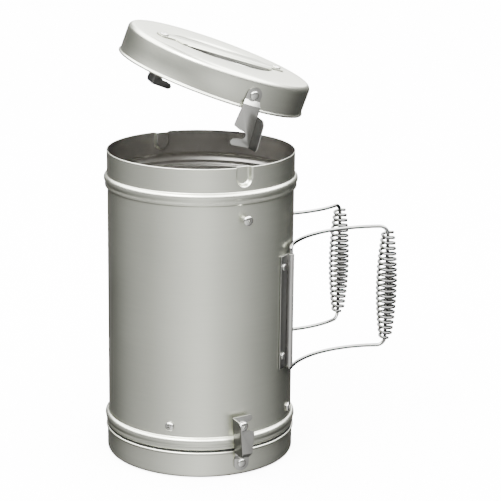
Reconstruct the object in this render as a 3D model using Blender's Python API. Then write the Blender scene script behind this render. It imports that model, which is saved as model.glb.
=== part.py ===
"""Chimney charcoal starter: a sheet-steel tube with a grate, a latched base pan, a lid, and two wire handles.

Metres, +Z up, the front faces -Y. The origin is the centre of the base pan's flat underside, on the tube's
axis. An azimuth is the angle round that axis in degrees, from the front (-Y) towards the right (+X).
The object is held as it is when it is being filled: the pan is latched on below, the two handles are swung
out, and the lid is held over the mouth, tilted to the right.
"""

import math

import bmesh
import bpy
from mathutils import Matrix, Vector

# --- driving dimensions ---------------------------------------------------------------------------------
SHEET = 0.0006  # sheet thickness of the tube, the lid and the pan
GAP = 0.0003  # space left between pieces that touch

TUBE_R = 0.0850
NECK_R = 0.0854
RIM_Z = 0.2849
FOOT_Z = 0.0060
BEAD_R = 0.0882
TOP_BEAD_Z = 0.2512
BOTTOM_BEAD_Z = 0.0264
BEAD_H = 0.0118

SKIRT_R = 0.0864  # outside of the lid's and the pan's skirt, which slide over the necks
HEM_OUT = 0.0012
PAN_H = 0.0252
PAN_CORNER = 0.0045
LID_H = 0.0282
LID_CORNER = 0.0050
RECESS_R = 0.0500
RECESS_FLOOR_R = 0.0440
RECESS_DEPTH = 0.0120
RECESS_NARROW = 0.77  # the oval recess's width across the strap, against its length along it

STRAP_HALF = 0.0165
STRAP_LONG = 0.0462
STRAP_FLAP = 0.0415  # half the length of the strap's turned-down edges
STRAP_EDGE = 0.0030
STRAP_TAB_HALF = 0.0070
STRAP_END = 0.0640
STRAP_RIVET = 0.0585

LID_CENTRE = Vector((0.0080, 0.0072, 0.3446))  # the middle of the lid's open side
LID_TILT = 19.4
LID_LEAN = 1.1
LID_SPIN = -3.3

LATCH_AZ = 26.6  # the lid's latch rivets and the pressed notches; the second set is opposite
BASE_AZ = 25.6  # the pan's latch rivets and the studs that they hook on
TOP_STUD_AZ = 27.1
TOP_STUD_Z = 0.2381
BASE_RIVET_Z = 0.0124
LID_RIVET_Z = 0.0136  # above the lid's open side
LATCH_SHEET = 0.0008
LATCH_STEP = 0.0030
TAB_R = 0.0073
HOOK_REACH = 0.0358  # from the rivet to the stud in the hook
HOOK_SHIFT = 0.0006
HOOK_R = 0.0033
LID_HOOK = (0.0088, 0.0102, 0.0165)  # the plate's width at the step and at the hook, and the flange's upper end
BASE_HOOK = (0.0094, 0.0108, 0.0115)

NOTCH_HALF = 0.0079
NOTCH_EDGE = 0.0019
NOTCH_DEPTH = 0.0030
TOP_NOTCH_END = 0.2672
BOTTOM_NOTCH_END = 0.0215

GRATE_Z = 0.0535
GRATE_R = 0.0840
GRATE_RIM_H = 0.0125
GRATE_SHEET = 0.0008
GRATE_SCREW_Z = 0.0478
GRATE_SCREW_AZ = -18.4
GRATE_HOLE_R = 0.0062
GRATE_HOLE_PITCH = 0.0175

PIN_R = 0.0889  # from the tube's axis to each handle's hinge axis
RIGHT_PIN_AZ = 66.2
LEFT_PIN_AZ = 165.0
RIGHT_SWING = 98.8  # from straight out to the way the arm leaves its hinge
LEFT_SWING = 92.6
BARREL_R = 0.0031
BARREL_BORE = 0.0018
BARREL_BOTTOM = 0.0904
BARREL_TOP = 0.1964
FLANGE_OFF = 6.2
FLANGE_BOTTOM = 0.0912
FLANGE_TOP = 0.1944
FLANGE_RIVETS = (0.1020, 0.1857)

WIRE_R = 0.00145
ARM_TOP = 0.2035
ARM_BOTTOM = 0.0868
ARM_CURVE = 0.0948
ARM_LENGTH = 0.1299
PIN_BEND = 0.0040
GRIP_BEND = 0.0080
PIN_DEPTH = 0.0160
GRIP_BOTTOM = 0.0935
GRIP_TOP = 0.1970
GRIP_END_R = 0.0060
GRIP_MID_R = 0.0098

STEP = 9.0  # degrees between the columns of the round shells

# --- helpers --------------------------------------------------------------------------------------------


def material(name, colour, roughness):
    found = bpy.data.materials.get(name)
    if found:
        return found
    made = bpy.data.materials.new(name)
    made.use_nodes = True
    shader = made.node_tree.nodes["Principled BSDF"]
    shader.inputs["Base Color"].default_value = (*colour, 1.0)
    shader.inputs["Roughness"].default_value = roughness
    shader.inputs["Metallic"].default_value = 1.0
    return made


def satin():
    return material("satin_steel", (0.60, 0.60, 0.57), 0.34)


def polished():
    return material("polished_steel", (0.70, 0.70, 0.68), 0.18)


def add(name, bm, look, parent=None, matrix=None, smooth=35.0):
    """One named object from a bmesh, with its faces pointing out."""
    bmesh.ops.recalc_face_normals(bm, faces=bm.faces)
    mesh = bpy.data.meshes.new(name)
    bm.to_mesh(mesh)
    bm.free()
    mesh.materials.append(look)
    mesh.shade_smooth()
    mesh.set_sharp_from_angle(angle=math.radians(smooth))
    obj = bpy.data.objects.new(name, mesh)
    bpy.context.collection.objects.link(obj)
    obj.parent = parent
    obj.matrix_local = matrix or Matrix()
    return obj


def axis_empty(name, matrix):
    obj = bpy.data.objects.new(name, None)
    obj.empty_display_size = 0.02
    bpy.context.collection.objects.link(obj)
    obj.matrix_local = matrix
    return obj


def around(radius, azimuth, z):
    turn = math.radians(azimuth)
    return Vector((radius * math.sin(turn), -radius * math.cos(turn), z))


def station(azimuth, z, radius=0.0, swing=0.0):
    """Axes at a place on the wall: X to the right along it, Y up and Z straight out."""
    turn = math.radians(azimuth)
    axes = Matrix((
        (math.cos(turn), 0.0, math.sin(turn)),
        (math.sin(turn), 0.0, -math.cos(turn)),
        (0.0, 1.0, 0.0),
    )).to_4x4()
    return Matrix.Translation(around(radius, azimuth, z)) @ axes @ Matrix.Rotation(math.radians(swing), 4, "Z")


def even_columns(count):
    return [360.0 * i / count for i in range(count)]


def shell_columns():
    """Evenly spaced columns, and closer ones across the two pressed notches."""
    columns = []
    across = [math.degrees(x / NECK_R) for x in (-NOTCH_HALF, NOTCH_EDGE - NOTCH_HALF, 0.0)]
    across += [-x for x in across[:2]]
    for i in range(round(360 / STEP)):
        at = LATCH_AZ + STEP * i
        if i % round(180 / STEP) == 0:
            columns += sorted(at + x for x in across)
        else:
            columns.append(at)
    return columns


def turned(profile, columns, closed=False, dent=None):
    """A profile of (radius, z) turned about Z. An open profile gets a flat cap at each end."""
    bm = bmesh.new()
    rings = []
    for radius, z in profile:
        ring = []
        for azimuth in columns:
            inward = dent(azimuth, z) if dent else 0.0
            ring.append(bm.verts.new(around(radius - inward, azimuth, z)))
        rings.append(ring)
    count = len(columns)
    pairs = list(zip(rings, rings[1:]))
    if closed:
        pairs.append((rings[-1], rings[0]))
    for first, second in pairs:
        for i in range(count):
            j = (i + 1) % count
            bm.faces.new((first[i], first[j], second[j], second[i]))
    if not closed:
        bm.faces.new(rings[0])
        bm.faces.new(rings[-1])
    return bm


def folded(points, faces):
    bm = bmesh.new()
    verts = [bm.verts.new(p) for p in points]
    for face in faces:
        bm.faces.new([verts[i] for i in face])
    return bm


def thicken(obj, thickness):
    """Gives a folded sheet its thickness, on the side above its first face."""
    if obj.data.polygons[0].normal.z < 0.0:
        for face in obj.data.polygons:
            face.flip()
    made = obj.modifiers.new("thickness", "SOLIDIFY")
    made.thickness = thickness
    made.offset = 1.0
    made.use_even_offset = True


def cut(obj, cutter, operation="DIFFERENCE"):
    made = obj.modifiers.new(cutter.name, "BOOLEAN")
    made.operation = operation
    made.solver = "EXACT"
    made.object = cutter


def hide(obj):
    obj.hide_render = True
    obj.display_type = "WIRE"
    return obj


def drill(name, places, radius, low, high, parent=None, sides=8):
    """A hidden cutter: one rod along the Z axis of each place, from low to high."""
    bm = bmesh.new()
    for place in places:
        rings = []
        for z in (low, high):
            turns = [math.tau * (i + 0.5) / sides for i in range(sides)]
            ring = [bm.verts.new(place @ Vector((radius * math.cos(t), radius * math.sin(t), z))) for t in turns]
            rings.append(ring)
        for i in range(sides):
            j = (i + 1) % sides
            bm.faces.new((rings[0][i], rings[0][j], rings[1][j], rings[1][i]))
        bm.faces.new(rings[0])
        bm.faces.new(rings[1])
    return hide(add(name, bm, satin(), parent))


def fastener(name, place, profile, look, parent=None, sides=10):
    return add(name, turned(profile, even_columns(sides)), look, parent, place)


# --- the tube -------------------------------------------------------------------------------------------


def notch_dent(azimuth, z):
    """How far the wall is pressed in: a U at each end of the neck, for the heads of the latch rivets."""
    off = (azimuth - LATCH_AZ + 90.0) % 180.0 - 90.0
    across = math.radians(off) * NECK_R
    if z > TOP_NOTCH_END:
        along = min(0.0, z - TOP_NOTCH_END - NOTCH_HALF)
    elif z < BOTTOM_NOTCH_END:
        along = min(0.0, BOTTOM_NOTCH_END - NOTCH_HALF - z)
    else:
        return 0.0
    inside = NOTCH_HALF - math.hypot(across, along)
    return NOTCH_DEPTH * min(1.0, max(0.0, inside / NOTCH_EDGE))


def bead(bottom, above, below):
    """The outer line of a pressed bead from top to bottom: a sloping shoulder, a straight band and a step."""
    return [
        (above, bottom + BEAD_H),
        ((above + BEAD_R) / 2 + 0.0005, bottom + 0.75 * BEAD_H),
        (BEAD_R, bottom + 0.40 * BEAD_H),
        (BEAD_R, bottom + 0.0010),
        (below, bottom),
    ]


def body_tube():
    outer = [
        (NECK_R, RIM_Z),
        (NECK_R, TOP_NOTCH_END + NOTCH_HALF),
        (NECK_R, TOP_NOTCH_END + 0.0025),
        (NECK_R, TOP_NOTCH_END),
    ]
    outer += bead(TOP_BEAD_Z, NECK_R, TUBE_R)
    outer += bead(BOTTOM_BEAD_Z, TUBE_R, NECK_R)
    outer += [
        (NECK_R, BOTTOM_NOTCH_END),
        (NECK_R, BOTTOM_NOTCH_END - 0.0025),
        (NECK_R, BOTTOM_NOTCH_END - NOTCH_HALF),
        (NECK_R, FOOT_Z),
    ]
    inner = [(radius - SHEET, z) for radius, z in reversed(outer)]
    tube = add("body_tube", turned(outer + inner, shell_columns(), closed=True, dent=notch_dent), satin())
    places = [station(az, z) for az, z, _ in stud_places()]
    places += [station(az, GRATE_SCREW_Z) for az in grate_screw_azimuths()]
    places += [station(az, z) for az in flange_azimuths() for z in FLANGE_RIVETS]
    cut(tube, drill("cutter_tube_holes", places, 0.0023, TUBE_R - 0.006, TUBE_R + 0.006))


# --- pan, lid and strap ---------------------------------------------------------------------------------


def skirt_line(height, corner, flip):
    """The outside of a skirt from its flat end's corner to its hem, with z measured from the flat end."""
    line = [
        (SKIRT_R - corner, 0.0),
        (SKIRT_R - 0.3 * corner, 0.3 * corner),
        (SKIRT_R, corner),
        (SKIRT_R, height - 0.0030),
        (SKIRT_R + HEM_OUT, height - 0.0018),
        (SKIRT_R + HEM_OUT, height),
    ]
    return [(radius, height - z if flip else z) for radius, z in line]


def base_pan():
    outer = skirt_line(PAN_H, PAN_CORNER, flip=False)
    inside = SKIRT_R - SHEET
    inner = [(inside, PAN_H), (inside, PAN_CORNER), (inside - 0.3 * PAN_CORNER, 0.3 * PAN_CORNER + SHEET)]
    inner += [(SKIRT_R - PAN_CORNER, SHEET)]
    pan = add("base_pan", turned(outer + inner, shell_columns()), satin())
    places = [station(az, BASE_RIVET_Z) for az in (BASE_AZ, BASE_AZ + 180.0)]
    cut(pan, drill("cutter_pan_holes", places, 0.0023, SKIRT_R - 0.004, SKIRT_R + 0.004))


def lid_matrix():
    tilt = Matrix.Rotation(math.radians(LID_TILT), 4, "Y") @ Matrix.Rotation(math.radians(-LID_LEAN), 4, "X")
    return Matrix.Translation(LID_CENTRE) @ tilt @ Matrix.Rotation(math.radians(LID_SPIN), 4, "Z")


def lid_shell(lid):
    floor = LID_H - RECESS_DEPTH
    inside = SKIRT_R - SHEET
    outer = [(RECESS_FLOOR_R, floor), (RECESS_R, LID_H)] + skirt_line(LID_H, LID_CORNER, flip=True)
    inner = [
        (inside, 0.0),
        (inside, LID_H - LID_CORNER),
        (inside - 0.3 * LID_CORNER, LID_H - 0.3 * LID_CORNER - SHEET),
        (SKIRT_R - LID_CORNER, LID_H - SHEET),
        (RECESS_R + 0.0006, LID_H - SHEET),
        (RECESS_FLOOR_R + 0.0006, floor - SHEET),
    ]
    bm = turned(outer + inner, shell_columns())
    across = strap_matrix() @ Vector((0.0, 1.0, 0.0))
    for vert in bm.verts:
        if vert.co.xy.length < RECESS_R + 0.002:
            vert.co += across * (RECESS_NARROW - 1.0) * vert.co.dot(across)
    shell = add("lid_shell", bm, satin(), lid)
    places = [station(az, LID_RIVET_Z) for az in latch_azimuths()]
    cut(shell, drill("cutter_lid_latch_holes", places, 0.0023, SKIRT_R - 0.004, SKIRT_R + 0.004, lid))
    cut(shell, drill("cutter_lid_strap_holes", strap_places(), 0.0021, LID_H - 0.004, LID_H + 0.004, lid))


def strap_matrix():
    """Axes of the strap: X runs along it, at right angles to the line through the two latches."""
    return Matrix.Rotation(math.radians(LATCH_AZ), 4, "Z")


def strap_places():
    return [strap_matrix() @ Matrix.Translation((side * STRAP_RIVET, 0.0, 0.0)) for side in (-1, 1)]


def lid_strap(lid):
    """The strap across the recess: a flat top, two turned-down edges and a narrow tab at each end."""
    z = LID_H + GAP
    x, y, flap = STRAP_LONG, STRAP_HALF, STRAP_FLAP
    half = [(-flap, -y), (flap, -y), (x, -y), (x + 0.003, -STRAP_TAB_HALF), (STRAP_END - 0.003, -STRAP_TAB_HALF)]
    half += [(STRAP_END, -STRAP_TAB_HALF + 0.003), (STRAP_END, STRAP_TAB_HALF - 0.003)]
    half += [(STRAP_END - 0.003, STRAP_TAB_HALF), (x + 0.003, STRAP_TAB_HALF), (x, y)]
    plan = half + [(-px, -py) for px, py in half]
    points = [(px, py, z) for px, py in plan]
    points += [(px, py, z - STRAP_EDGE) for px, py in ((-flap, -y), (flap, -y), (flap, y), (-flap, y))]
    top = len(plan)
    faces = [list(range(top)), [1, 0, top, top + 1], [11, 10, top + 2, top + 3]]
    strap = add("lid_strap", folded(points, faces), satin(), lid, strap_matrix())
    thicken(strap, LATCH_SHEET)
    holes = [Matrix.Translation((side * STRAP_RIVET, 0.0, 0.0)) for side in (-1, 1)]
    cut(strap, drill("cutter_strap_holes", holes, 0.0021, LID_H - 0.002, LID_H + 0.004, strap))
    head = LID_H + GAP + LATCH_SHEET + GAP
    under = LID_H - SHEET - GAP
    line = [(0.0031, under - 0.0012), (0.0031, under), (0.0017, under), (0.0017, head)]
    line += [(0.0039, head), (0.0036, head + 0.0008), (0.0022, head + 0.0015)]
    for name, place in zip(("lid_strap_rivet_left", "lid_strap_rivet_right"), strap_places()):
        fastener(name, place, line, polished(), lid)


# --- latches --------------------------------------------------------------------------------------------


def latch_azimuths():
    return (LATCH_AZ, LATCH_AZ + 180.0)


def latch_outline(shape):
    """The hook plate from the step down, in the latch's own (across, along): the hook opens at -X."""
    hook = []
    for i in range(5):
        turn = math.radians(90.0 - 45.0 * i)
        hook.append((HOOK_SHIFT + HOOK_R * math.cos(turn), HOOK_R * math.sin(turn) - HOOK_REACH))
    neck, shoulder, flange_end = shape
    left = [(-neck, -0.0090), (-shoulder, -0.0280), (0.0005 - shoulder, -0.0292), (-0.0036, -0.0318)]
    prong = [(-0.0031, -0.0395), (-0.0070, -0.0407), (-0.0084, -0.0425), (-0.0080, -0.0448), (-0.0058, -0.0461)]
    right = [(0.0115, -0.0450), (0.0078 + 0.06 * flange_end, -flange_end), (0.0081, -0.0090)]
    return left + hook + prong + right


def latch(name, shape, azimuth, z, swing, parent=None):
    """One bent latch: a round tab under its rivet, a step out, the hook plate and a finger flange."""
    tab = []
    for i in range(9):
        turn = math.radians(180.0 * i / 8)
        tab.append((TAB_R * math.cos(turn), TAB_R * math.sin(turn), 0.0))
    tab += [(-TAB_R, -0.0048, 0.0), (TAB_R, -0.0048, 0.0)]
    plate = [(x, y, LATCH_STEP) for x, y in latch_outline(shape)]
    start = len(tab)
    last = start + len(plate) - 1
    low, high = Vector(plate[-3]), Vector(plate[-2])
    out = Vector((0.0, 0.0, 1.0))
    along = (high - low).normalized()
    tall = 0.0165
    flange = [
        low + out * 0.7 * tall + along * 0.0005,
        low + out * tall + along * 0.0045,
        high + out * tall - along * 0.0050,
        high + out * 0.6 * tall - along * 0.0008,
    ]
    points = [Vector(p) for p in tab + plate] + flange
    first = last + 1
    faces = [
        list(range(start)),
        [start - 1, start - 2, start, last],
        [last] + list(range(start, last)),
        [last - 2, last - 1, first + 3, first + 2, first + 1, first],
    ]
    bm = folded(points, faces)
    place = station(azimuth, z, SKIRT_R + GAP, swing)
    obj = add(name, bm, satin(), parent, place)
    thicken(obj, LATCH_SHEET)
    cut(obj, drill("cutter_" + name, [Matrix()], 0.0023, -0.002, 0.004, obj))
    head = LATCH_SHEET + GAP
    under = -(GAP + SHEET + GAP)
    line = [(0.0034, under - 0.0012), (0.0034, under), (0.0019, under), (0.0019, head)]
    line += [(0.0043, head), (0.0040, head + 0.0009), (0.0024, head + 0.0018)]
    fastener(name + "_rivet", place, line, polished(), parent)


def stud_places():
    rows = ((BASE_AZ, BASE_RIVET_Z + HOOK_REACH, "base"), (TOP_STUD_AZ, TOP_STUD_Z, "top"))
    sides = ((0.0, "front"), (180.0, "rear"))
    return [(az + turn, z, level + "_latch_stud_" + side) for az, z, level in rows for turn, side in sides]


def latches(lid):
    lean = math.degrees(HOOK_SHIFT / HOOK_REACH)
    for azimuth, side in zip(latch_azimuths(), ("front", "rear")):
        latch("lid_latch_" + side, LID_HOOK, azimuth, LID_RIVET_Z, 0.0, lid)
        latch("base_latch_" + side, BASE_HOOK, azimuth + BASE_AZ - LATCH_AZ, BASE_RIVET_Z, 180.0 - lean)
    line = [(0.0019, 0.0785), (0.0019, TUBE_R + GAP), (0.0025, TUBE_R + GAP), (0.0025, 0.0908)]
    line += [(0.0044, 0.0908), (0.0043, 0.0920), (0.0030, 0.0929)]
    for azimuth, z, name in stud_places():
        fastener(name, station(azimuth, z), line, polished(), sides=12)
        nut(name + "_nut", azimuth, z, 0.0800)


def nut(name, azimuth, z, inner):
    line = [(0.0040, inner), (0.0040, inner + 0.0026), (0.0022, inner + 0.0026), (0.0022, inner)]
    add(name, turned(line, even_columns(6), closed=True), polished(), None, station(azimuth, z))


# --- grate ----------------------------------------------------------------------------------------------


def grate_screw_azimuths():
    return [GRATE_SCREW_AZ + 90.0 * i for i in range(4)]


def grate_hole_places():
    """Hole centres: one in the middle, then rings of six and twelve on a hexagonal grid."""
    places = []
    for i in range(-2, 3):
        for j in range(-2, 3):
            if abs(i + j) <= 2:
                x = GRATE_HOLE_PITCH * (i + j / 2)
                y = GRATE_HOLE_PITCH * j * math.sqrt(3) / 2
                places.append(Matrix.Translation((x * 1.45, y * 1.45, 0.0)))
    return places


def grate():
    top, low = GRATE_Z, GRATE_Z - GRATE_RIM_H
    line = [(GRATE_R - 0.0012, top), (GRATE_R, top - 0.0012), (GRATE_R, low), (GRATE_R - GRATE_SHEET, low)]
    line += [(GRATE_R - GRATE_SHEET, top - 0.0016), (GRATE_R - 0.0016, top - GRATE_SHEET)]
    plate = add("grate", turned(line, shell_columns()), satin())
    screws = [station(az, GRATE_SCREW_Z) for az in grate_screw_azimuths()]
    screws += [station(az, z) for az, z, name in stud_places() if "base" in name]
    cut(plate, drill("cutter_grate_air", grate_hole_places(), GRATE_HOLE_R, top - 0.004, top + 0.003))
    cut(plate, drill("cutter_grate_rim", screws, 0.0022, GRATE_R - 0.004, GRATE_R + 0.002))
    line = [(0.0019, 0.0785), (0.0019, TUBE_R + GAP), (0.0041, TUBE_R + GAP)]
    line += [(0.0040, TUBE_R + 0.0013), (0.0027, TUBE_R + 0.0022)]
    for i, azimuth in enumerate(grate_screw_azimuths(), 1):
        fastener(f"grate_screw_{i}", station(azimuth, GRATE_SCREW_Z), line, polished(), sides=12)
        nut(f"grate_nut_{i}", azimuth, GRATE_SCREW_Z, 0.0800)


# --- handles --------------------------------------------------------------------------------------------


def flange_azimuths():
    return (RIGHT_PIN_AZ - FLANGE_OFF, LEFT_PIN_AZ + FLANGE_OFF)


def box(x0, x1, y0, y1, z0, z1):
    bm = bmesh.new()
    bmesh.ops.create_cube(bm, size=1.0)
    for vert in bm.verts:
        vert.co.x = x0 if vert.co.x < 0 else x1
        vert.co.y = y0 if vert.co.y < 0 else y1
        vert.co.z = z0 if vert.co.z < 0 else z1
    return bm


def bracket(side, pin_azimuth, flange_azimuth, towards):
    """A strip rolled round the handle's pins: a flat flange riveted to the tube and a barrel beside it."""
    name = "handle_bracket_" + side
    edges = sorted((-0.0046 * towards, 0.0088 * towards))
    flat = station(flange_azimuth, 0.0)
    bm = box(*edges, FLANGE_BOTTOM, FLANGE_TOP, TUBE_R + GAP, TUBE_R + 0.0015)
    plate = add(name, bm, polished(), None, flat)
    pin = Matrix.Translation(around(PIN_R, pin_azimuth, 0.0))
    cut(plate, drill(f"cutter_barrel_{side}", [pin], BARREL_R, BARREL_BOTTOM, BARREL_TOP, sides=16), "UNION")
    cut(plate, drill(f"cutter_bore_{side}", [pin], BARREL_BORE, 0.08, 0.21, sides=12))
    holes = [station(flange_azimuth, z) for z in FLANGE_RIVETS]
    cut(plate, drill(f"cutter_flange_{side}", holes, 0.0020, TUBE_R - 0.002, TUBE_R + 0.004))
    head = TUBE_R + 0.0015 + GAP
    under = TUBE_R - SHEET - 0.0006
    line = [(0.0030, under - 0.0010), (0.0030, under), (0.0016, under), (0.0016, head)]
    line += [(0.0034, head), (0.0032, head + 0.0008), (0.0019, head + 0.0015)]
    for z, level in zip(FLANGE_RIVETS, ("lower", "upper")):
        fastener(f"bracket_rivet_{side}_{level}", station(flange_azimuth, z), line, polished())


def quarter(centre, start, end, radius):
    """Points of a quarter bend about a centre, from the start direction to the end direction."""
    turns = [math.radians(90.0 * i / 4) for i in range(5)]
    return [centre + radius * (start * math.cos(t) + end * math.sin(t)) for t in turns]


def handle_path(heading, towards):
    """The wire about its hinge axis: pin, arm, grip, arm, pin. The arm bends round as the tube does."""
    up = Vector((0.0, 0.0, 1.0))
    a0 = math.radians(heading)
    turn = towards / ARM_CURVE
    out = Vector((math.cos(a0), math.sin(a0), 0.0))
    half = [Vector((0.0, 0.0, BARREL_TOP - PIN_DEPTH))]
    half += quarter(out * PIN_BEND + up * (ARM_TOP - PIN_BEND), -out, up, PIN_BEND)
    steps = 12
    length = ARM_LENGTH - GRIP_BEND - PIN_BEND
    for i in range(1, steps + 1):
        angle = a0 + turn * length * i / steps
        x = (math.sin(angle) - math.sin(a0)) / turn
        y = -(math.cos(angle) - math.cos(a0)) / turn
        half.append(Vector((x, y, ARM_TOP)) + out * PIN_BEND)
    ahead = Vector((math.cos(angle), math.sin(angle), 0.0))
    half += quarter(half[-1] - up * GRIP_BEND, up, ahead, GRIP_BEND)[1:]
    middle = (ARM_TOP + ARM_BOTTOM) / 2
    lower = [Vector((p.x, p.y, 2 * middle - p.z)) for p in reversed(half)]
    lower[-1].z = BARREL_BOTTOM + PIN_DEPTH
    return half, lower


def handle(side, pin_azimuth, heading, towards):
    pivot = axis_empty(f"handle_axis_{side}", Matrix.Translation(around(PIN_R, pin_azimuth, 0.0)))
    upper, lower = handle_path(heading, towards)
    curve = bpy.data.curves.new("handle_wire_" + side, "CURVE")
    curve.dimensions = "3D"
    curve.bevel_depth = WIRE_R
    curve.bevel_resolution = 2
    curve.use_fill_caps = True
    points = upper + lower
    spline = curve.splines.new("POLY")
    spline.points.add(len(points) - 1)
    for slot, point in zip(spline.points, points):
        slot.co = (*point, 1.0)
    curve.materials.append(polished())
    wire = bpy.data.objects.new("handle_wire_" + side, curve)
    bpy.context.collection.objects.link(wire)
    wire.parent = pivot
    grip(side, pivot, upper[-1])


def grip(side, pivot, place):
    """The sleeve of the coiled grip, swelling towards its middle, with the wire's clearance through it."""
    steps = 8
    line = []
    for i in range(steps + 1):
        share = i / steps
        radius = GRIP_END_R + (GRIP_MID_R - GRIP_END_R) * math.sin(math.pi * share) ** 0.8
        line.append((radius, GRIP_TOP + (GRIP_BOTTOM - GRIP_TOP) * share))
    line += [(0.0020, GRIP_BOTTOM), (0.0020, GRIP_TOP)]
    at = Matrix.Translation((place.x, place.y, 0.0))
    add("handle_grip_" + side, turned(line, even_columns(12), closed=True), polished(), pivot, at)


def handles():
    right_flange, left_flange = flange_azimuths()
    bracket("right", RIGHT_PIN_AZ, right_flange, 1)
    bracket("left", LEFT_PIN_AZ, left_flange, -1)
    handle("right", RIGHT_PIN_AZ, RIGHT_PIN_AZ - 90.0 + RIGHT_SWING, -1)
    handle("left", LEFT_PIN_AZ, LEFT_PIN_AZ - 90.0 - LEFT_SWING, 1)


def main():
    for obj in list(bpy.data.objects):
        bpy.data.objects.remove(obj, do_unlink=True)
    body_tube()
    base_pan()
    grate()
    lid = axis_empty("lid_axis", lid_matrix())
    lid_shell(lid)
    lid_strap(lid)
    latches(lid)
    handles()


main()
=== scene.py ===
"""Looks of the chimney charcoal starter: fine shells, latches, coiled grips, steel, light, camera.

Lengths are in metres and angles in degrees. An azimuth of 0 faces the front, and it grows to the right.
"""
import math

import bmesh
import bpy
from mathutils import Matrix, Vector

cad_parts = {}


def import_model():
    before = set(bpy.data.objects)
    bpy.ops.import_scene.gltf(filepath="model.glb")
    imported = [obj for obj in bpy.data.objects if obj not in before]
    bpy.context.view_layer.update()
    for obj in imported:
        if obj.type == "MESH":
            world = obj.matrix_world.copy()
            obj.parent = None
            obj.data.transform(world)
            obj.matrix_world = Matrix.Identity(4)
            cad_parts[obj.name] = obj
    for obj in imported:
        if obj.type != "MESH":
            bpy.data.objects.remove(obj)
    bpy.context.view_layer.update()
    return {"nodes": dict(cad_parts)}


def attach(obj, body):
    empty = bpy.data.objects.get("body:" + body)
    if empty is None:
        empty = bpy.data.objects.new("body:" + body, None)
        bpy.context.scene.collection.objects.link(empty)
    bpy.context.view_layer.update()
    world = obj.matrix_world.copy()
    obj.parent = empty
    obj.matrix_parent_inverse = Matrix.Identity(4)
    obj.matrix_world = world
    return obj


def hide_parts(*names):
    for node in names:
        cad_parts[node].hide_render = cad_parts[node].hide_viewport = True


SHEET = 0.0006
GAP = 0.0003
TUBE_R = 0.0850
NECK_R = 0.0854
RIM_Z = 0.2849
FOOT_Z = 0.0060
TOP_BEAD_Z = 0.2512
BOTTOM_BEAD_Z = 0.0264
UPPER_NECK_FOOT = 0.2645
LOWER_NECK_TOP = 0.0252
BAND_STEP = 0.0352
SKIRT_R = 0.0864
PAN_H = 0.0252
LID_H = 0.0282
RECESS_DEPTH = 0.0120
RECESS_NARROW = 0.77
FLOOR_R = 0.0425
LIP_R = 0.0513
STRAP_FLAP = 0.0415
STRAP_LONG = 0.0462
STRAP_HALF = 0.0165
STRAP_TAB = 0.0070
STRAP_END = 0.0640
STRAP_FLAP_DEPTH = 0.0030
STRAP_FLAP_INSET = 0.0012
STRAP_RIVET = 0.0585
LID_CENTRE = Vector((0.0080, 0.0072, 0.3446))
LID_TILT = 19.4
LID_LEAN = 1.1
LID_SPIN = -3.3
LATCH_AZ = 26.6
BASE_AZ = 25.6
TOP_STUD_AZ = 27.1
TOP_STUD_Z = 0.2381
BASE_RIVET_Z = 0.0124
LID_RIVET_Z = 0.0136
LATCH_SHEET = 0.0008
LATCH_STEP = 0.0030
TAB_R = 0.0073
HOOK_REACH = 0.0358
HOOK_SHIFT = 0.0006
HOOK_R = 0.0033
# A latch plate: half width at the neck, half width at the shoulder, and where the flange ends.
LID_HOOK = (0.0088, 0.0102, 0.0165)
BASE_HOOK = (0.0094, 0.0108, 0.0115)
FLANGE_WIDTH = 0.0165
NOTCH_HALF = 0.0079
NOTCH_EDGE = 0.0021
NOTCH_DEPTH = 0.0046
TOP_NOTCH_END = 0.2672
BOTTOM_NOTCH_END = 0.0215
GRATE_Z = 0.0535
GRATE_R = 0.0840
GRATE_RIM = 0.0125
HOLE_R = 0.0062
HOLE_PITCH = 0.0175 * 1.45
GRATE_SCREW_Z = 0.0478
GRATE_SCREW_AZ = -18.4
PIN_R = 0.0889
RIGHT_PIN_AZ = 66.2
LEFT_PIN_AZ = 165.0
RIGHT_SWING = 98.8
LEFT_SWING = 92.6
BARREL_BOTTOM = 0.0904
BARREL_TOP = 0.1964
BARREL_MID = 0.0025
BARREL_HALF_SHEET = 0.0006
FLANGE_OFF = 6.2
FLANGE_RIVETS = (0.1020, 0.1857)
WIRE_R = 0.00172
ARM_TOP = 0.2035
ARM_BOTTOM = 0.0868
ARM_CURVE = 0.0948
ARM_LENGTH = 0.1299
PIN_BEND = 0.0040
GRIP_BEND = 0.0080
PIN_DEPTH = 0.0160
GRIP_BOTTOM = 0.0925
GRIP_TOP = 0.2003
GRIP_TURNS = 20.25
COIL_R = 0.00144
COIL_STEPS = 32
GRIP_END_R = 0.0060
GRIP_SWELL = 0.0042
GRIP_SHUT_R = 0.0025
GRIP_CLOSING = 0.35
# A fastener: shank radius, distance out of the head's underside, head radius, head height, and
# where the shank ends.
LATCH_RIVET = (0.0019, GAP + LATCH_SHEET + GAP, 0.0040, 0.0019, -0.0012)
STUD = (0.0024, 0.0908, 0.0045, 0.0023, 0.0785)
GRATE_SCREW = (0.0019, TUBE_R + GAP, 0.0042, 0.0023, 0.0785)
BRACKET_RIVET = (0.0016, TUBE_R + 0.0018, 0.0034, 0.0015, 0.0825)
STRAP_RIVET_SIZES = (0.0017, LID_H + GAP + LATCH_SHEET + GAP, 0.0039, 0.0016, LID_H - 0.0022)
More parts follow.
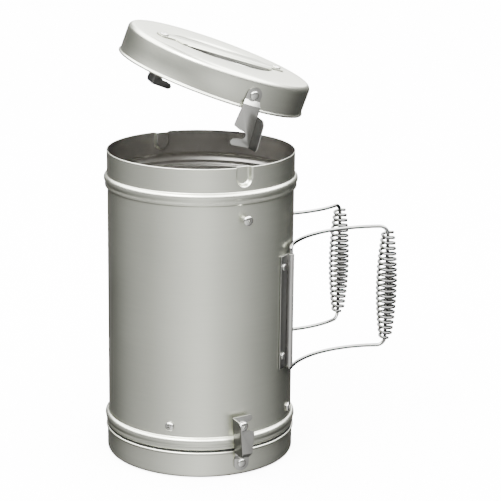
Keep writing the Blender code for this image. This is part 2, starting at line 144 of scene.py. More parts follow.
# The studio: brightness by azimuth round the object, how far the dome reaches down behind it,
# and brightness by height.
RING = (
    (-179.0, 0.06), (-165.0, 0.06), (-130.0, 0.15), (-95.0, 0.45), (-62.0, 0.68), (-22.0, 1.35),
    (2.0, 1.75), (26.0, 1.15), (70.0, 0.48), (99.0, 0.26), (125.0, 0.06), (179.0, 0.06),
)
BEHIND = (
    (-179.0, 0.42), (-176.0, 0.42), (-168.0, 0.0), (-70.0, 0.0), (70.0, 0.0),
    (157.0, 0.0), (165.0, 0.42), (179.0, 0.42),
)
DOME = ((0.0, 5.0), (0.5, 6.0), (0.60, 15.0), (0.85, 15.0), (1.0, 14.0))
DARK_BAND = 0.05
BACKDROP = 14.0
KEY_AT = (-0.55, -1.0, 1.65)
KEY_AIM = (0.0, 0.0, 0.18)
KEY_POWER = 60.0
KEY_SIZE = 0.9
CAMERA_AT = (0.0, -1.7087, 0.6509)
CAMERA_PITCH_YAW_ROLL = (15.103, 1.536, 0.668)
CAMERA_LENS = 138.54
UP = Vector((0.0, 0.0, 1.0))

# --- geometry helpers ---------------------------------------------------------------------------


def around(radius, azimuth, z):
    turn = math.radians(azimuth)
    return Vector((radius * math.sin(turn), -radius * math.cos(turn), z))


def station(azimuth, z, radius=0.0, swing=0.0):
    turn = math.radians(azimuth)
    axes = Matrix((
        (math.cos(turn), 0.0, math.sin(turn)),
        (math.sin(turn), 0.0, -math.cos(turn)),
        (0.0, 1.0, 0.0),
    )).to_4x4()
    spin = Matrix.Rotation(math.radians(swing), 4, "Z")
    return Matrix.Translation(around(radius, azimuth, z)) @ axes @ spin


def lid_matrix():
    tilt = Matrix.Rotation(math.radians(LID_TILT), 4, "Y")
    lean = Matrix.Rotation(math.radians(-LID_LEAN), 4, "X")
    spin = Matrix.Rotation(math.radians(LID_SPIN), 4, "Z")
    return Matrix.Translation(LID_CENTRE) @ (tilt @ lean) @ spin


def columns(step=2.0, fine=0.4, reach=9.0):
    """Azimuths of a shell's columns, closer together across the two pressed notches."""
    found = []
    for start in (0.0, 180.0):
        at = -reach
        while at < reach - 1e-6:
            found.append(LATCH_AZ + start + at)
            at += fine
        while at < 180.0 - reach - 1e-6:
            found.append(LATCH_AZ + start + at)
            at += step
    return found


def even_columns(count):
    return [360.0 * i / count for i in range(count)]


def turned(profile, azimuths, closed=False, dent=None):
    """A (radius, z) profile turned about the upright axis, with end faces unless it closes on itself."""
    bm = bmesh.new()
    rings = []
    for radius, z in profile:
        ring = []
        for az in azimuths:
            depth = dent(az, z) if dent else 0.0
            ring.append(bm.verts.new(around(radius - depth, az, z)))
        rings.append(ring)
    pairs = list(zip(rings, rings[1:]))
    if closed:
        pairs.append((rings[-1], rings[0]))
    count = len(azimuths)
    for first, second in pairs:
        for i in range(count):
            j = (i + 1) % count
            bm.faces.new((first[i], first[j], second[j], second[i]))
    if not closed:
        bm.faces.new(rings[0])
        bm.faces.new(rings[-1])
    return bm


def add(name, bm, look, body, node, matrix=None, smooth=30.0):
    """A finished piece that stands for a CAD node and rides on its body."""
    bmesh.ops.recalc_face_normals(bm, faces=bm.faces)
    mesh = bpy.data.meshes.new(name)
    bm.to_mesh(mesh)
    bm.free()
    mesh.materials.append(look)
    mesh.shade_smooth()
    mesh.set_sharp_from_angle(angle=math.radians(smooth))
    obj = bpy.data.objects.new(name, mesh)
    bpy.context.scene.collection.objects.link(obj)
    obj.matrix_world = matrix or Matrix()
    if node:
        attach(obj, body)
        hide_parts(node)
    return obj


def arc(cx, cz, radius, start, end, steps):
    turns = [math.radians(start + (end - start) * i / steps) for i in range(steps + 1)]
    return [(cx + radius * math.cos(t), cz + radius * math.sin(t)) for t in turns]


def filleted(points, radii, steps=6):
    """A closed outline with each corner rounded by its own radius."""
    made = []
    count = len(points)
    for i, (here, radius) in enumerate(zip(points, radii)):
        here = Vector(here)
        back = (Vector(points[i - 1]) - here)
        ahead = (Vector(points[(i + 1) % count]) - here)
        angle = back.angle(ahead)
        reach = min(radius / math.tan(angle / 2), 0.49 * back.length, 0.49 * ahead.length)
        if radius <= 0.0 or angle > 3.0:
            made.append(here)
            continue
        first, last = here + back.normalized() * reach, here + ahead.normalized() * reach
        for k in range(steps + 1):
            t = k / steps
            made.append(first * (1 - t) ** 2 + here * 2 * t * (1 - t) + last * t**2)
    return made


def soften(obj, width):
    """A small bevel on the sharp edges."""
    edge = obj.modifiers.new("edges", "BEVEL")
    edge.width = width
    edge.segments = 2
    edge.limit_method = "ANGLE"
    edge.angle_limit = math.radians(50.0)


def bake(obj):
    """Keeps the shape that the modifiers make."""
    bpy.context.view_layer.update()
    graph = bpy.context.evaluated_depsgraph_get()
    made = bpy.data.meshes.new_from_object(obj.evaluated_get(graph))
    obj.modifiers.clear()
    obj.data = made
    made.shade_smooth()
    made.set_sharp_from_angle(angle=math.radians(32.0))


def cut(obj, cutter):
    made = obj.modifiers.new("cut", "BOOLEAN")
    made.operation = "DIFFERENCE"
    made.solver = "EXACT"
    made.use_self = True
    made.object = cutter
    bake(obj)
    bpy.data.objects.remove(cutter, do_unlink=True)


# --- materials ------------------------------------------------------------------------------------


def steel(name, colour, roughness, grain, spread):
    """Bare steel: slow patches of tone, fine brushed streaks round the piece, and tiny scuffs."""
    made = bpy.data.materials.new(name)
    made.use_nodes = True
    tree = made.node_tree
    nodes, link = tree.nodes, tree.links.new
    shader = nodes["Principled BSDF"]
    shader.inputs["Metallic"].default_value = 1.0
    shader.inputs["Specular Tint"].default_value = (0.35, 0.35, 0.35, 1.0)
    place = nodes.new("ShaderNodeTexCoord")

    def noise(scale, detail, stretch):
        mapping = nodes.new("ShaderNodeMapping")
        mapping.inputs["Scale"].default_value = stretch
        link(place.outputs["Object"], mapping.inputs["Vector"])
        made_noise = nodes.new("ShaderNodeTexNoise")
        made_noise.inputs["Scale"].default_value = scale
        made_noise.inputs["Detail"].default_value = detail
        link(mapping.outputs["Vector"], made_noise.inputs["Vector"])
        return made_noise.outputs["Fac"]

    def remap(source, low, high, width):
        made_map = nodes.new("ShaderNodeMapRange")
        made_map.inputs["From Min"].default_value = 0.5 - width
        made_map.inputs["From Max"].default_value = 0.5 + width
        made_map.inputs["To Min"].default_value = low
        made_map.inputs["To Max"].default_value = high
        link(source, made_map.inputs["Value"])
        return made_map.outputs["Result"]

    def total(a, b):
        made_sum = nodes.new("ShaderNodeMath")
        made_sum.operation = "ADD"
        link(a, made_sum.inputs[0])
        link(b, made_sum.inputs[1])
        return made_sum.outputs["Value"]

    patches = noise(14.0, 3.0, (1.0, 1.0, 1.0))
    streaks = noise(grain, 4.0, (0.05, 0.05, 1.0))
    scuffs = noise(900.0, 2.0, (1.0, 1.0, 1.0))
    tone = remap(total(patches, streaks), 1.0 - spread, 1.0 + spread, 0.9)
    shade = nodes.new("ShaderNodeVectorMath")
    shade.operation = "SCALE"
    shade.inputs[0].default_value = colour
    link(tone, shade.inputs["Scale"])
    link(shade.outputs["Vector"], shader.inputs["Base Color"])
    brushed = remap(streaks, roughness - 0.008, roughness + 0.008, 0.4)
    link(total(remap(patches, -0.018, 0.018, 0.3), brushed), shader.inputs["Roughness"])
    bump = nodes.new("ShaderNodeBump")
    bump.inputs["Strength"].default_value = 0.03
    bump.inputs["Distance"].default_value = 0.0002
    link(scuffs, bump.inputs["Height"])
    link(bump.outputs["Normal"], shader.inputs["Normal"])
    return made


SATIN = steel("satin_sheet", (0.652, 0.664, 0.580), 0.305, 520.0, 0.06)
SATIN_LID_LATCH = steel("satin_lid_latch", (0.49, 0.49, 0.465), 0.31, 700.0, 0.05)
SATIN_BASE_LATCH = steel("satin_base_latch", (0.50, 0.50, 0.475), 0.31, 700.0, 0.05)
# Painted shade: a near-black steel for the sides that stand in shade (latch flanges, the strap's
# turned-down edges, the rear lid latch).
SIDE_SHADE_PAINT = steel("painted_shade_sides", (0.14, 0.14, 0.133), 0.32, 700.0, 0.05)
SATIN_GRATE = steel("satin_grate", (0.36, 0.35, 0.33), 0.42, 300.0, 0.10)
# Inner wall: darker than the outside, partly soot and partly painted shade inside the tube.
INSIDE_SOOT_AND_SHADE = steel("soot_and_painted_shade_inside", (0.40, 0.39, 0.37), 0.38, 160.0, 0.12)
# Painted shade: a darker steel for the lid's recess, where the strap blocks the light.
RECESS_SHADE_PAINT = steel("painted_shade_recess", (0.46, 0.46, 0.44), 0.32, 520.0, 0.06)
# Painted shadow: near-black on the neck inside the pan, for the dark gap above the pan's hem.
GAP_SHADE_PAINT = steel("painted_shade_gap", (0.05, 0.05, 0.05), 0.55, 300.0, 0.10)
FLANGE = steel("flange_steel", (0.30, 0.30, 0.29), 0.31, 500.0, 0.05)
BRACKET = steel("bracket_steel", (0.52, 0.52, 0.49), 0.36, 500.0, 0.05)
# Painted reflection: the wire's colour is darkened for the dark surroundings it reflects on its sides.
WIRE = steel("wire_steel", (0.29, 0.29, 0.28), 0.16, 500.0, 0.04)
# Painted reflection: the coil's colour is darkened for the dark reflections between its turns.
COIL = steel("coil_steel", (0.15, 0.15, 0.145), 0.16, 500.0, 0.04)
FASTENER = steel("fastener_steel", (0.62, 0.62, 0.59), 0.23, 900.0, 0.06)

# --- shells ---------------------------------------------------------------------------------------


def notch_dent(azimuth, z):
    off = (azimuth - LATCH_AZ + 90.0) % 180.0 - 90.0
    across = math.radians(off) * NECK_R
    if z > TOP_NOTCH_END:
        along = min(0.0, z - TOP_NOTCH_END - NOTCH_HALF)
    elif z < BOTTOM_NOTCH_END:
        along = min(0.0, BOTTOM_NOTCH_END - NOTCH_HALF - z)
    else:
        return 0.0
    share = min(1.0, max(0.0, (NOTCH_HALF - math.hypot(across, along)) / NOTCH_EDGE))
    return NOTCH_DEPTH * share * share * (3.0 - 2.0 * share)


def bead(bottom, above, below):
    """A round bead over a smaller ridge, as (radius, z) from top to bottom."""
    line = [(above, 12.6), (above + 0.0003, 11.9), (0.0867, 11.3), (0.0877, 10.2), (0.0882, 8.6)]
    line += [(0.0880, 7.0), (0.08725, 5.4), (0.0869, 4.5), (0.08705, 3.6), (0.0873, 2.5)]
    line += [(0.08715, 1.4), (0.0864, 0.5), (below + 0.0003, 0.1), (below, -0.4)]
    return smooth([(radius, bottom + 0.001 * up) for radius, up in line])


def smooth(points, steps=4):
    """A smooth line through the points."""
    made = []
    for i in range(len(points) - 1):
        p0, p1 = Vector(points[max(0, i - 1)]), Vector(points[i])
        p2, p3 = Vector(points[i + 1]), Vector(points[min(len(points) - 1, i + 2)])
        for k in range(steps):
            t = k / steps
            curve = 2 * p1 + (p2 - p0) * t + (2 * p0 - 5 * p1 + 4 * p2 - p3) * t * t
            made.append(tuple(0.5 * (curve + (3 * p1 - p0 - 3 * p2 + p3) * t**3)))
    return made + [tuple(points[-1])]


def neck(top, bottom, count):
    return [(NECK_R, top + (bottom - top) * i / count) for i in range(count + 1)]


def body_tube():
    outer = [(NECK_R - 0.0003, RIM_Z)] + neck(RIM_Z - 0.0003, UPPER_NECK_FOOT, 26)
    outer += bead(TOP_BEAD_Z, NECK_R, TUBE_R)
    outer += [(TUBE_R, 0.2500 - BAND_STEP * i) for i in range(7)]
    outer += bead(BOTTOM_BEAD_Z, TUBE_R, NECK_R)
    outer += neck(LOWER_NECK_TOP, FOOT_Z, 24)
    inner = [(radius - SHEET, z) for radius, z in reversed(outer[1:])]
    inner.append((NECK_R - SHEET + 0.0001, RIM_Z))
    bm = turned(outer + inner, columns(), closed=True, dent=notch_dent)
    obj = add("body_shell", bm, SATIN, "starter", "body_tube", smooth=75.0)
    obj.data.materials.append(INSIDE_SOOT_AND_SHADE)
    obj.data.materials.append(GAP_SHADE_PAINT)
    for face in obj.data.polygons:
        outwards = face.normal.xy.dot(face.center.xy) / face.center.xy.length
        # Faces below the lower bead get the painted gap shadow.
        if face.center.z < BOTTOM_BEAD_Z + 0.0004:
            face.material_index = 2
        # Inward faces get the darker inner-wall colour (soot and painted shade).
        elif outwards < -0.5:
            face.material_index = 1


def skirt(height, corner):
    """A skirt's outside from the flat end's corner to the rolled hem, then back along the inside."""
    outer = arc(SKIRT_R - corner, corner, corner, -90.0, 0.0, 8)
    outer += [(SKIRT_R, height * 0.5), (SKIRT_R, height - 0.0030)]
    outer.append((SKIRT_R + 0.0001, height - 0.0025))
    outer += arc(SKIRT_R - 0.0001, height - 0.0012, 0.00120, -60.0, 90.0, 8)
    inner = [(SKIRT_R - SHEET, height - 0.0003), (SKIRT_R - SHEET, height * 0.5)]
    inner += arc(SKIRT_R - corner, corner, corner - SHEET, 0.0, -90.0, 8)
    return outer, inner


def base_pan():
    outer, inner = skirt(PAN_H - 0.0003, 0.0045)
    bm = turned(outer + inner, columns(2.0, 2.0))
    add("pan_shell", bm, SATIN, "starter", "base_pan", smooth=50.0)


def lid_shell():
    outer, inner = skirt(LID_H, 0.0050)
    outer = [(radius, LID_H - z) for radius, z in outer]
    inner = [(radius, LID_H - z) for radius, z in inner]
    floor = LID_H - RECESS_DEPTH
    lip = [(0.012, floor), (0.030, floor), (FLOOR_R, floor)]
    lip += arc(FLOOR_R, floor + 0.0030, 0.0030, -90.0, -25.0, 6)[1:]
    lip += arc(LIP_R, LID_H - 0.0035, 0.0035, 155.0, 90.0, 6)
    top = [(0.060, LID_H), (0.072, LID_H)]
    under = [(radius, z - SHEET) for radius, z in reversed(lip[1:] + top)]
    line = lip + top + outer + inner + under + [(0.012, floor - SHEET)]
    bm = turned(line, columns(2.0, 2.0))
    across = Matrix.Rotation(math.radians(LATCH_AZ), 4, "Z") @ Vector((0.0, 1.0, 0.0))
    for vert in bm.verts:
        if vert.co.xy.length < 0.055:
            vert.co += across * (RECESS_NARROW - 1.0) * vert.co.dot(across)
    obj = add("lid_skin", bm, SATIN, "lid", "lid_shell", lid_matrix(), 50.0)
    obj.data.materials.append(RECESS_SHADE_PAINT)
    # Faces down in the recess get the painted recess shade.
    for face in obj.data.polygons:
        if face.center.z < LID_H - 0.0015 and face.center.xy.length < 0.0505:
            face.material_index = 1


# --- folded sheet pieces --------------------------------------------------------------------------


def folded(name, points, faces, look, body, node, matrix, bend):
    """A sheet folded along its shared edges, with rounded bends, its thickness and softened edges."""
    bm = bmesh.new()
    verts = [bm.verts.new(p) for p in points]
    for face in faces:
        bm.faces.new([verts[i] for i in face])
    obj = add(name, bm, look, body, node, matrix)
    if obj.data.polygons[0].normal.z < 0.0:
        for face in obj.data.polygons:
            face.flip()
    fold = obj.modifiers.new("bends", "BEVEL")
    fold.width = bend
    fold.segments = 5
    fold.limit_method = "ANGLE"
    fold.angle_limit = math.radians(15.0)
    thick = obj.modifiers.new("thickness", "SOLIDIFY")
    thick.thickness = LATCH_SHEET
    thick.offset = 1.0
    soften(obj, 0.00014)
    bake(obj)
    return obj


def latch(name, body, node, place, look, shape):
    """A pressed latch: a round tab, a step down to the plate with its hook and prong, and a flange."""
    neck_half, shoulder, flange_end = shape
    tab = [(x, y, 0.0) for x, y in arc(0.0, 0.0, TAB_R, 0.0, 180.0, 28)]
    tab += [(-TAB_R, -0.0048, 0.0), (TAB_R, -0.0048, 0.0)]
    hook = arc(HOOK_SHIFT, -HOOK_REACH, HOOK_R, 90.0, -90.0, 16)
    left = [(-neck_half, -0.0090), (-shoulder, -0.0275), (0.0004 - shoulder, -0.0294)]
    left = [Vector(p) for p in [*left, (-0.0036, -0.0318)]]
    tip = [(-0.0031, -0.0393), (-0.0070, -0.0407), (-0.0085, -0.0427)]
    tip += [(-0.0081, -0.0449), (-0.0058, -0.0462)]
    foot = (0.0115, -0.0450)
    prong = filleted([(0.0, -0.0391), *tip, foot], [0, 0.002, 0.0015, 0.002, 0.002, 0.002, 0])[1:-1]
    outline = left[:2] + [left[1].lerp(left[2], 0.6), left[2], left[2].lerp(left[3], 0.15), left[3]]
    outline += [Vector(p) for p in hook] + prong
    outline += [Vector(foot), Vector((0.0078 + 0.06 * flange_end, -flange_end))]
    outline.append(Vector((0.0081, -0.0090)))
    plate = [(p[0], p[1], LATCH_STEP) for p in outline]
    low, high = Vector(plate[-3]), Vector(plate[-2])
    along = (high - low).normalized()
    length = (high - low).length
    corners = [(0.0, 0.0), (0.0005, FLANGE_WIDTH), (length, FLANGE_WIDTH), (length, 0.0)]
    wing = filleted(corners, [0, 0.0050, 0.0055, 0], 8)[1:-1]
    flange = [low + along * x + UP * y for x, y in wing]
    points = [Vector(p) for p in tab + plate] + flange
    start = len(tab)
    end = start + len(plate)
    faces = [
        list(range(start)),
        [start - 1, start - 2, start, end - 1],
        [end - 1] + list(range(start, end - 1)),
        [end - 3, end - 2] + list(range(end + len(flange) - 1, end - 1, -1)),
    ]
    obj = folded(name, points, faces, look, body, node, place, 0.0009)
    # The flange's side faces get the painted shade colour.
    obj.data.materials.append(SIDE_SHADE_PAINT)
    for face in obj.data.polygons:
        if abs(face.normal.x) > 0.75:
            face.material_index = 1


def strap():
    """The strap across the lid's recess: rounded end tabs and two edges turned down for stiffness."""
    place = lid_matrix() @ Matrix.Rotation(math.radians(LATCH_AZ), 4, "Z")
    z = LID_H + GAP
    side = [(STRAP_FLAP, -STRAP_HALF), (STRAP_LONG, -STRAP_HALF)]
    side += [(STRAP_LONG + 0.003, -STRAP_TAB), (STRAP_END, -STRAP_TAB)]
    side += [(x, -y) for x, y in reversed(side)]
    radii = [0, 0.0015, 0.003, 0.0035, 0.0035, 0.003, 0.0015, 0]
    rounded = [side[0], *filleted(side, radii)[1:-1], side[-1]]
    plan = [(p[0], p[1], z) for p in rounded]
    plan += [(-p[0], -p[1], z) for p in rounded]
    half_count = len(rounded)
    x, y, low = STRAP_FLAP - STRAP_FLAP_INSET, STRAP_HALF, z - STRAP_FLAP_DEPTH
    edges = [(x, y, low), (-x, y, low), (-x, -y, low), (x, -y, low)]
    n = len(plan)
    faces = [list(range(n)), [half_count - 1, half_count, n + 1, n], [n - 1, 0, n + 3, n + 2]]
    points = [Vector(p) for p in plan + edges]
    obj = folded("strap_plate", points, faces, SATIN, "lid", "lid_strap", place, 0.0011)
    # The turned-down edges get the painted shade colour, for the shadowed gap under the strap's edges.
    obj.data.materials.append(SIDE_SHADE_PAINT)
    for face in obj.data.polygons:
        if face.center.z < z - 0.0003:
            face.material_index = 1


# --- fasteners ------------------------------------------------------------------------------------


def cross_cutter(place, top, reach):
    bm = bmesh.new()
    for turn in (0.0, 90.0):
        spin = Matrix.Rotation(math.radians(turn + 20.0), 4, "Z")
        made = bmesh.ops.create_cube(bm, size=1.0)["verts"]
        for vert in made:
            deep = vert.co.z < 0
            vert.co.x *= 2 * reach * (0.45 if deep else 1.0)
            vert.co.y *= 0.0011
            vert.co.z = top + (-0.0016 if deep else 0.001)
        bmesh.ops.transform(bm, matrix=spin, verts=made)
    return add("cross_cutter", bm, FASTENER, None, None, place)


def fastener(node, body, place, shank, under, radius, height, foot, cross=False):
    """A shank with a domed head whose underside is at a set distance out."""
    line = [(0.0002, under + height)]
    for i in range(1, 9):
        turn = math.pi / 16 * i
        rise = 0.0005 + (height - 0.0005) * math.cos(turn)
        line.append((radius * math.sin(turn), under + rise))
    line += [(radius - 0.0001, under), (shank, under), (shank, foot)]
    obj = add(node + "_fine", turned(line, even_columns(40)), FASTENER, body, node, place)
    if cross:
        cut(obj, cross_cutter(place, under + height, 0.55 * radius))


def fasteners():
    lid = lid_matrix()
    for az, side in ((LATCH_AZ, "front"), (LATCH_AZ + 180.0, "rear")):
        on_lid = lid @ station(az, LID_RIVET_Z, SKIRT_R)
        fastener(f"lid_latch_{side}_rivet", "lid", on_lid, *LATCH_RIVET)
        on_pan = station(az + BASE_AZ - LATCH_AZ, BASE_RIVET_Z, SKIRT_R)
        fastener(f"base_latch_{side}_rivet", "starter", on_pan, *LATCH_RIVET)
    studs = (("base", BASE_AZ, BASE_RIVET_Z + HOOK_REACH), ("top", TOP_STUD_AZ, TOP_STUD_Z))
    for level, az, z in studs:
        for turn, side in ((0.0, "front"), (180.0, "rear")):
            name = f"{level}_latch_stud_{side}"
            fastener(name, "starter", station(az + turn, z), *STUD, cross=True)
    for i in range(4):
        place = station(GRATE_SCREW_AZ + 90.0 * i, GRATE_SCREW_Z)
        fastener(f"grate_screw_{i + 1}", "starter", place, *GRATE_SCREW, cross=True)
    flanges = (("right", RIGHT_PIN_AZ - FLANGE_OFF), ("left", LEFT_PIN_AZ + FLANGE_OFF))
    for side, az in flanges:
        for level, z in zip(("lower", "upper"), FLANGE_RIVETS):
            name = f"bracket_rivet_{side}_{level}"
            fastener(name, "starter", station(az, z), *BRACKET_RIVET)
    across = lid @ Matrix.Rotation(math.radians(LATCH_AZ), 4, "Z")
    for side, sign in (("left", -1), ("right", 1)):
        place = across @ Matrix.Translation((sign * STRAP_RIVET, 0.0, 0.0))
        fastener(f"lid_strap_rivet_{side}", "lid", place, *STRAP_RIVET_SIZES)


# --- grate ----------------------------------------------------------------------------------------


def grate():
    """The charcoal grate: a plate with a turned-down rim and a hexagonal field of air holes."""
    top, low = GRATE_Z, GRATE_Z - GRATE_RIM
    line = arc(GRATE_R - 0.0015, top - 0.0015, 0.0015, 90.0, 0.0, 5)
    line += [(GRATE_R, low), (GRATE_R - 0.0008, low)]
    line += arc(GRATE_R - 0.0023, top - 0.0023, 0.0015, 0.0, 90.0, 5)
    obj = add("grate_plate", turned(line, even_columns(120)), SATIN_GRATE, "starter", "grate")
    bm = bmesh.new()
    for i in range(-2, 3):
        for j in range(-2, 3):
            if abs(i + j) > 2:
                continue
            x = HOLE_PITCH * (i + j / 2)
            y = HOLE_PITCH * j * math.sqrt(3) / 2
            bmesh.ops.create_cone(
                bm, cap_ends=True, segments=32, radius1=HOLE_R, radius2=HOLE_R, depth=0.008,
                matrix=Matrix.Translation((x, y, top)),
            )
    cut(obj, add("air_cutter", bm, SATIN_GRATE, None, None))


# --- handles --------------------------------------------------------------------------------------


def bracket(side, flange_az, towards):
    """A strip that lies flat on the tube and then rolls round the handle's pins."""
    off = math.radians(FLANGE_OFF)
    cx, cz = PIN_R * math.sin(off), PIN_R * math.cos(off)
    path = [(-0.0046, cz - BARREL_MID), (-0.0044, cz - BARREL_MID), (0.0, cz - BARREL_MID)]
    path += arc(cx, cz, BARREL_MID, -90.0, 215.0, 34)
    sides = ([], [])
    for i, (x, z) in enumerate(path):
        ahead = Vector(path[min(i + 1, len(path) - 1)]) - Vector(path[max(i - 1, 0)])
        normal = Vector((-ahead.y, ahead.x)).normalized() * BARREL_HALF_SHEET
        sides[0].append((x + normal.x, z + normal.y))
        sides[1].append((x - normal.x, z - normal.y))
    outline = sides[0] + sides[1][::-1]
    bm = bmesh.new()
    lower, upper = (
        [bm.verts.new((x * towards, z, r)) for x, r in outline] for z in (BARREL_BOTTOM, BARREL_TOP)
    )
    for i in range(len(outline)):
        j = (i + 1) % len(outline)
        bm.faces.new((lower[i], lower[j], upper[j], upper[i]))
    bm.faces.new(lower)
    bm.faces.new(upper)
    place = station(flange_az, 0.0)
    obj = add(f"bracket_{side}", bm, BRACKET, "starter", f"handle_bracket_{side}", place)
    soften(obj, 0.00015)
    bake(obj)
    obj.data.materials.append(FLANGE)
    for face in obj.data.polygons:
        if face.center.x * towards < cx - 0.0028:
            face.material_index = 1


def quarter(centre, start, end, radius, steps=12):
    turns = [math.radians(90.0 * i / steps) for i in range(steps + 1)]
    return [centre + radius * (start * math.cos(t) + end * math.sin(t)) for t in turns]


def handle_path(heading, towards):
    a0 = math.radians(heading)
    turn = towards / ARM_CURVE
    out = Vector((math.cos(a0), math.sin(a0), 0.0))
    half = [Vector((0.0, 0.0, BARREL_TOP - PIN_DEPTH))]
    half += quarter(out * PIN_BEND + UP * (ARM_TOP - PIN_BEND), -out, UP, PIN_BEND)
    length = ARM_LENGTH - GRIP_BEND - PIN_BEND
    for i in range(1, 41):
        angle = a0 + turn * length * i / 40
        x = (math.sin(angle) - math.sin(a0)) / turn
        y = -(math.cos(angle) - math.cos(a0)) / turn
        half.append(Vector((x, y, ARM_TOP)) + out * PIN_BEND)
    ahead = Vector((math.cos(angle), math.sin(angle), 0.0))
    half += quarter(half[-1] - UP * GRIP_BEND, UP, ahead, GRIP_BEND)[1:]
    middle = (ARM_TOP + ARM_BOTTOM) / 2
    lower = [Vector((p.x, p.y, 2 * middle - p.z)) for p in reversed(half)]
    lower[-1].z = BARREL_BOTTOM + PIN_DEPTH
    return half, lower


def wire(name, points, radius, look, body, node, place, sides):
    curve = bpy.data.curves.new(name, "CURVE")
    curve.dimensions = "3D"
    curve.bevel_depth = radius
    curve.bevel_resolution = sides
    curve.use_fill_caps = True
    spline = curve.splines.new("POLY")
    spline.points.add(len(points) - 1)
    for spot, point in zip(spline.points, points):
        spot.co = (*point, 1.0)
    obj = bpy.data.objects.new(name, curve)
    bpy.context.scene.collection.objects.link(obj)
    bpy.context.view_layer.update()
    mesh = bpy.data.meshes.new_from_object(obj.evaluated_get(bpy.context.evaluated_depsgraph_get()))
    bpy.data.objects.remove(obj)
    bm = bmesh.new()
    bm.from_mesh(mesh)
    bmesh.ops.remove_doubles(bm, verts=bm.verts, dist=1e-6)
    return add(name, bm, look, body, node, place, 40.0)


def coil(side, body, place, centre):
    """The grip: a coil that swells towards its middle and closes on the handle's wire at both ends."""
    points = []
    count = round(GRIP_TURNS * COIL_STEPS)
    height = GRIP_TOP - GRIP_BOTTOM - 2 * COIL_R
    for i in range(count + 1):
        share = i / count
        radius = GRIP_END_R + GRIP_SWELL * math.sin(math.pi * share) ** 0.8 - COIL_R
        closing = min(1.0, min(i, count - i) / (GRIP_CLOSING * COIL_STEPS))
        radius = GRIP_SHUT_R + (radius - GRIP_SHUT_R) * (closing * closing * (3 - 2 * closing))
        turn = -math.tau * i / COIL_STEPS
        x, y = centre.x + radius * math.cos(turn), centre.y + radius * math.sin(turn)
        points.append((x, y, GRIP_BOTTOM + COIL_R + height * share))
    wire(f"coil_{side}", points, COIL_R, COIL, body, f"handle_grip_{side}", place, 4)


def handles():
    bracket("right", RIGHT_PIN_AZ - FLANGE_OFF, 1)
    bracket("left", LEFT_PIN_AZ + FLANGE_OFF, -1)
    right, left = RIGHT_PIN_AZ - 90.0 + RIGHT_SWING, LEFT_PIN_AZ - 90.0 - LEFT_SWING
    sides = (("right", RIGHT_PIN_AZ, right, -1), ("left", LEFT_PIN_AZ, left, 1))
    for side, az, heading, towards in sides:
        place = Matrix.Translation(around(PIN_R, az, 0.0))
        body = f"{side}_handle"
        upper, lower = handle_path(heading, towards)
        wire(f"wire_{side}", upper + lower, WIRE_R, WIRE, body, f"handle_wire_{side}", place, 6)
        coil(side, body, place, upper[-1])


# --- light, floor, camera -------------------------------------------------------------------------


def studio():
    """Soft light from the front and above, fading to dark flags behind the object on both sides."""
    world = bpy.data.worlds.new("studio")
    bpy.context.scene.world = world
    world.use_nodes = True
    nodes, link = world.node_tree.nodes, world.node_tree.links.new
    back = nodes["Background"]
    place = nodes.new("ShaderNodeTexCoord")
    split = nodes.new("ShaderNodeSeparateXYZ")
    link(place.outputs["Generated"], split.inputs["Vector"])
    x, y, z = (split.outputs[axis] for axis in "XYZ")

    def feed(socket, value):
        if isinstance(value, (float, tuple)):
            socket.default_value = value
        else:
            link(value, socket)

    def maths(operation, first, second):
        made = nodes.new("ShaderNodeMath")
        made.operation = operation
        feed(made.inputs[0], first)
        feed(made.inputs[1], second)
        return made.outputs["Value"]

    def rising(source, low, high, kind="LINEAR"):
        made = nodes.new("ShaderNodeMapRange")
        made.interpolation_type = kind
        made.inputs["From Min"].default_value = low
        made.inputs["From Max"].default_value = high
        link(source, made.inputs["Value"])
        return made.outputs["Result"]

    def ramp(source, stops):
        made = nodes.new("ShaderNodeValToRGB")
        elements = made.color_ramp.elements
        for at, value in stops:
            elements.new(at).color = (value, value, value, 1.0)
        elements.remove(elements[0])
        elements.remove(elements[-1])
        link(source, made.inputs["Fac"])
        return made.outputs["Color"]

    def mixed(factor, first, second):
        made = nodes.new("ShaderNodeMix")
        made.data_type = "RGBA"
        feed(made.inputs["Factor"], factor)
        feed(made.inputs["A"], first)
        feed(made.inputs["B"], second)
        return made.outputs["Result"]

    def by_azimuth(levels):
        return ramp(share, [((azimuth + 180.0) / 360.0, value) for azimuth, value in levels])

    share = rising(maths("ARCTAN2", x, maths("MULTIPLY", y, -1.0)), -math.pi, math.pi)
    ring = by_azimuth(RING)
    lifted = maths("MULTIPLY", by_azimuth(BEHIND), rising(z, -0.12, 0.12))
    height = maths("ADD", z, lifted)
    dome = ramp(height, DOME)
    rise = rising(height, 0.36, 0.56, "SMOOTHSTEP")
    front = ramp(share, [(0.25, 0.0), (0.32, 0.85), (0.68, 0.85), (0.75, 0.0)])
    dim = maths("MULTIPLY", front, rising(z, -0.12, 0.04, "SMOOTHSTEP"))
    band = mixed(dim, ring, (DARK_BAND, DARK_BAND, DARK_BAND, 1.0))
    light = mixed(rise, band, dome)
    seen = nodes.new("ShaderNodeLightPath").outputs["Is Camera Ray"]
    link(mixed(seen, light, (BACKDROP, BACKDROP, BACKDROP, 1.0)), back.inputs["Color"])
    back.inputs["Strength"].default_value = 1.0


def key_light():
    data = bpy.data.lights.new("key", "AREA")
    data.energy = KEY_POWER
    data.size = KEY_SIZE
    lamp = bpy.data.objects.new("key", data)
    bpy.context.scene.collection.objects.link(lamp)
    lamp.location = KEY_AT
    aim = Vector(KEY_AIM) - lamp.location
    lamp.rotation_euler = aim.to_track_quat("-Z", "Y").to_euler()


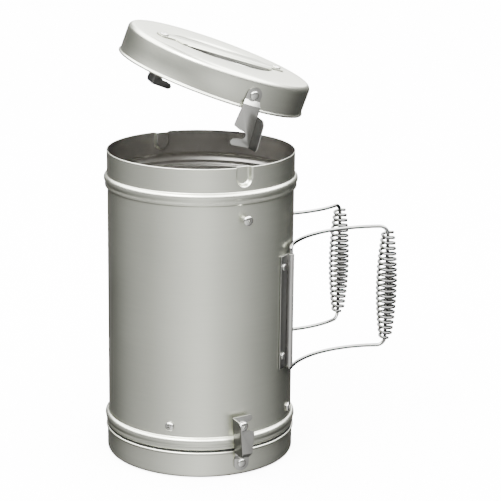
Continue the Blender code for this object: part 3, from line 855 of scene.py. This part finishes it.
def floor():
    bm = bmesh.new()
    bmesh.ops.create_grid(bm, x_segments=1, y_segments=1, size=9.0)
    paper = bpy.data.materials.new("paper")
    paper.use_nodes = True
    shader = paper.node_tree.nodes["Principled BSDF"]
    shader.inputs["Base Color"].default_value = (0.82, 0.82, 0.82, 1.0)
    shader.inputs["Roughness"].default_value = 0.9
    shader.inputs["Specular IOR Level"].default_value = 0.0
    shader.inputs["Emission Color"].default_value = (1.0, 1.0, 1.0, 1.0)
    shader.inputs["Emission Strength"].default_value = 8.0
    obj = add("floor", bm, paper, None, None, Matrix.Translation((0.0, 0.0, -0.0002)))
    obj.visible_glossy = False


def camera():
    pitch, yaw, roll = (math.radians(angle) for angle in CAMERA_PITCH_YAW_ROLL)
    level = math.cos(pitch)
    ahead = Vector((math.sin(yaw) * level, math.cos(yaw) * level, -math.sin(pitch)))
    right = Vector((math.cos(yaw), -math.sin(yaw), 0.0))
    over = right.cross(ahead)
    side = math.cos(roll) * right + math.sin(roll) * over
    top = -math.sin(roll) * right + math.cos(roll) * over
    data = bpy.data.cameras.new("camera")
    data.lens = CAMERA_LENS
    data.sensor_width = 36.0
    data.clip_start = 0.05
    obj = bpy.data.objects.new("camera", data)
    bpy.context.scene.collection.objects.link(obj)
    turn = Matrix((side, top, -ahead)).transposed().to_4x4()
    obj.matrix_world = Matrix.Translation(CAMERA_AT) @ turn
    bpy.context.scene.camera = obj


def nuts(frame):
    for name, obj in frame["nodes"].items():
        if "nut" in name:
            obj.data.materials.clear()
            obj.data.materials.append(FASTENER)


def latches():
    lid = lid_matrix()
    lean = math.degrees(HOOK_SHIFT / HOOK_REACH)
    for az, side in ((LATCH_AZ, "front"), (LATCH_AZ + 180.0, "rear")):
        place = lid @ station(az, LID_RIVET_Z, SKIRT_R + GAP)
        # The rear lid latch is painted whole in the shade colour.
        look = SATIN_LID_LATCH if side == "front" else SIDE_SHADE_PAINT
        name, body = f"lid_hook_plate_{side}", f"lid_hook_{side}"
        latch(name, body, f"lid_latch_{side}", place, look, LID_HOOK)
        place = station(az + BASE_AZ - LATCH_AZ, BASE_RIVET_Z, SKIRT_R + GAP, 180.0 - lean)
        name, body = f"base_hook_plate_{side}", f"base_hook_{side}"
        latch(name, body, f"base_latch_{side}", place, SATIN_BASE_LATCH, BASE_HOOK)


def main():
    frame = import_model()
    body_tube()
    base_pan()
    lid_shell()
    strap()
    latches()
    fasteners()
    grate()
    handles()
    nuts(frame)
    studio()
    key_light()
    floor()
    camera()


main()
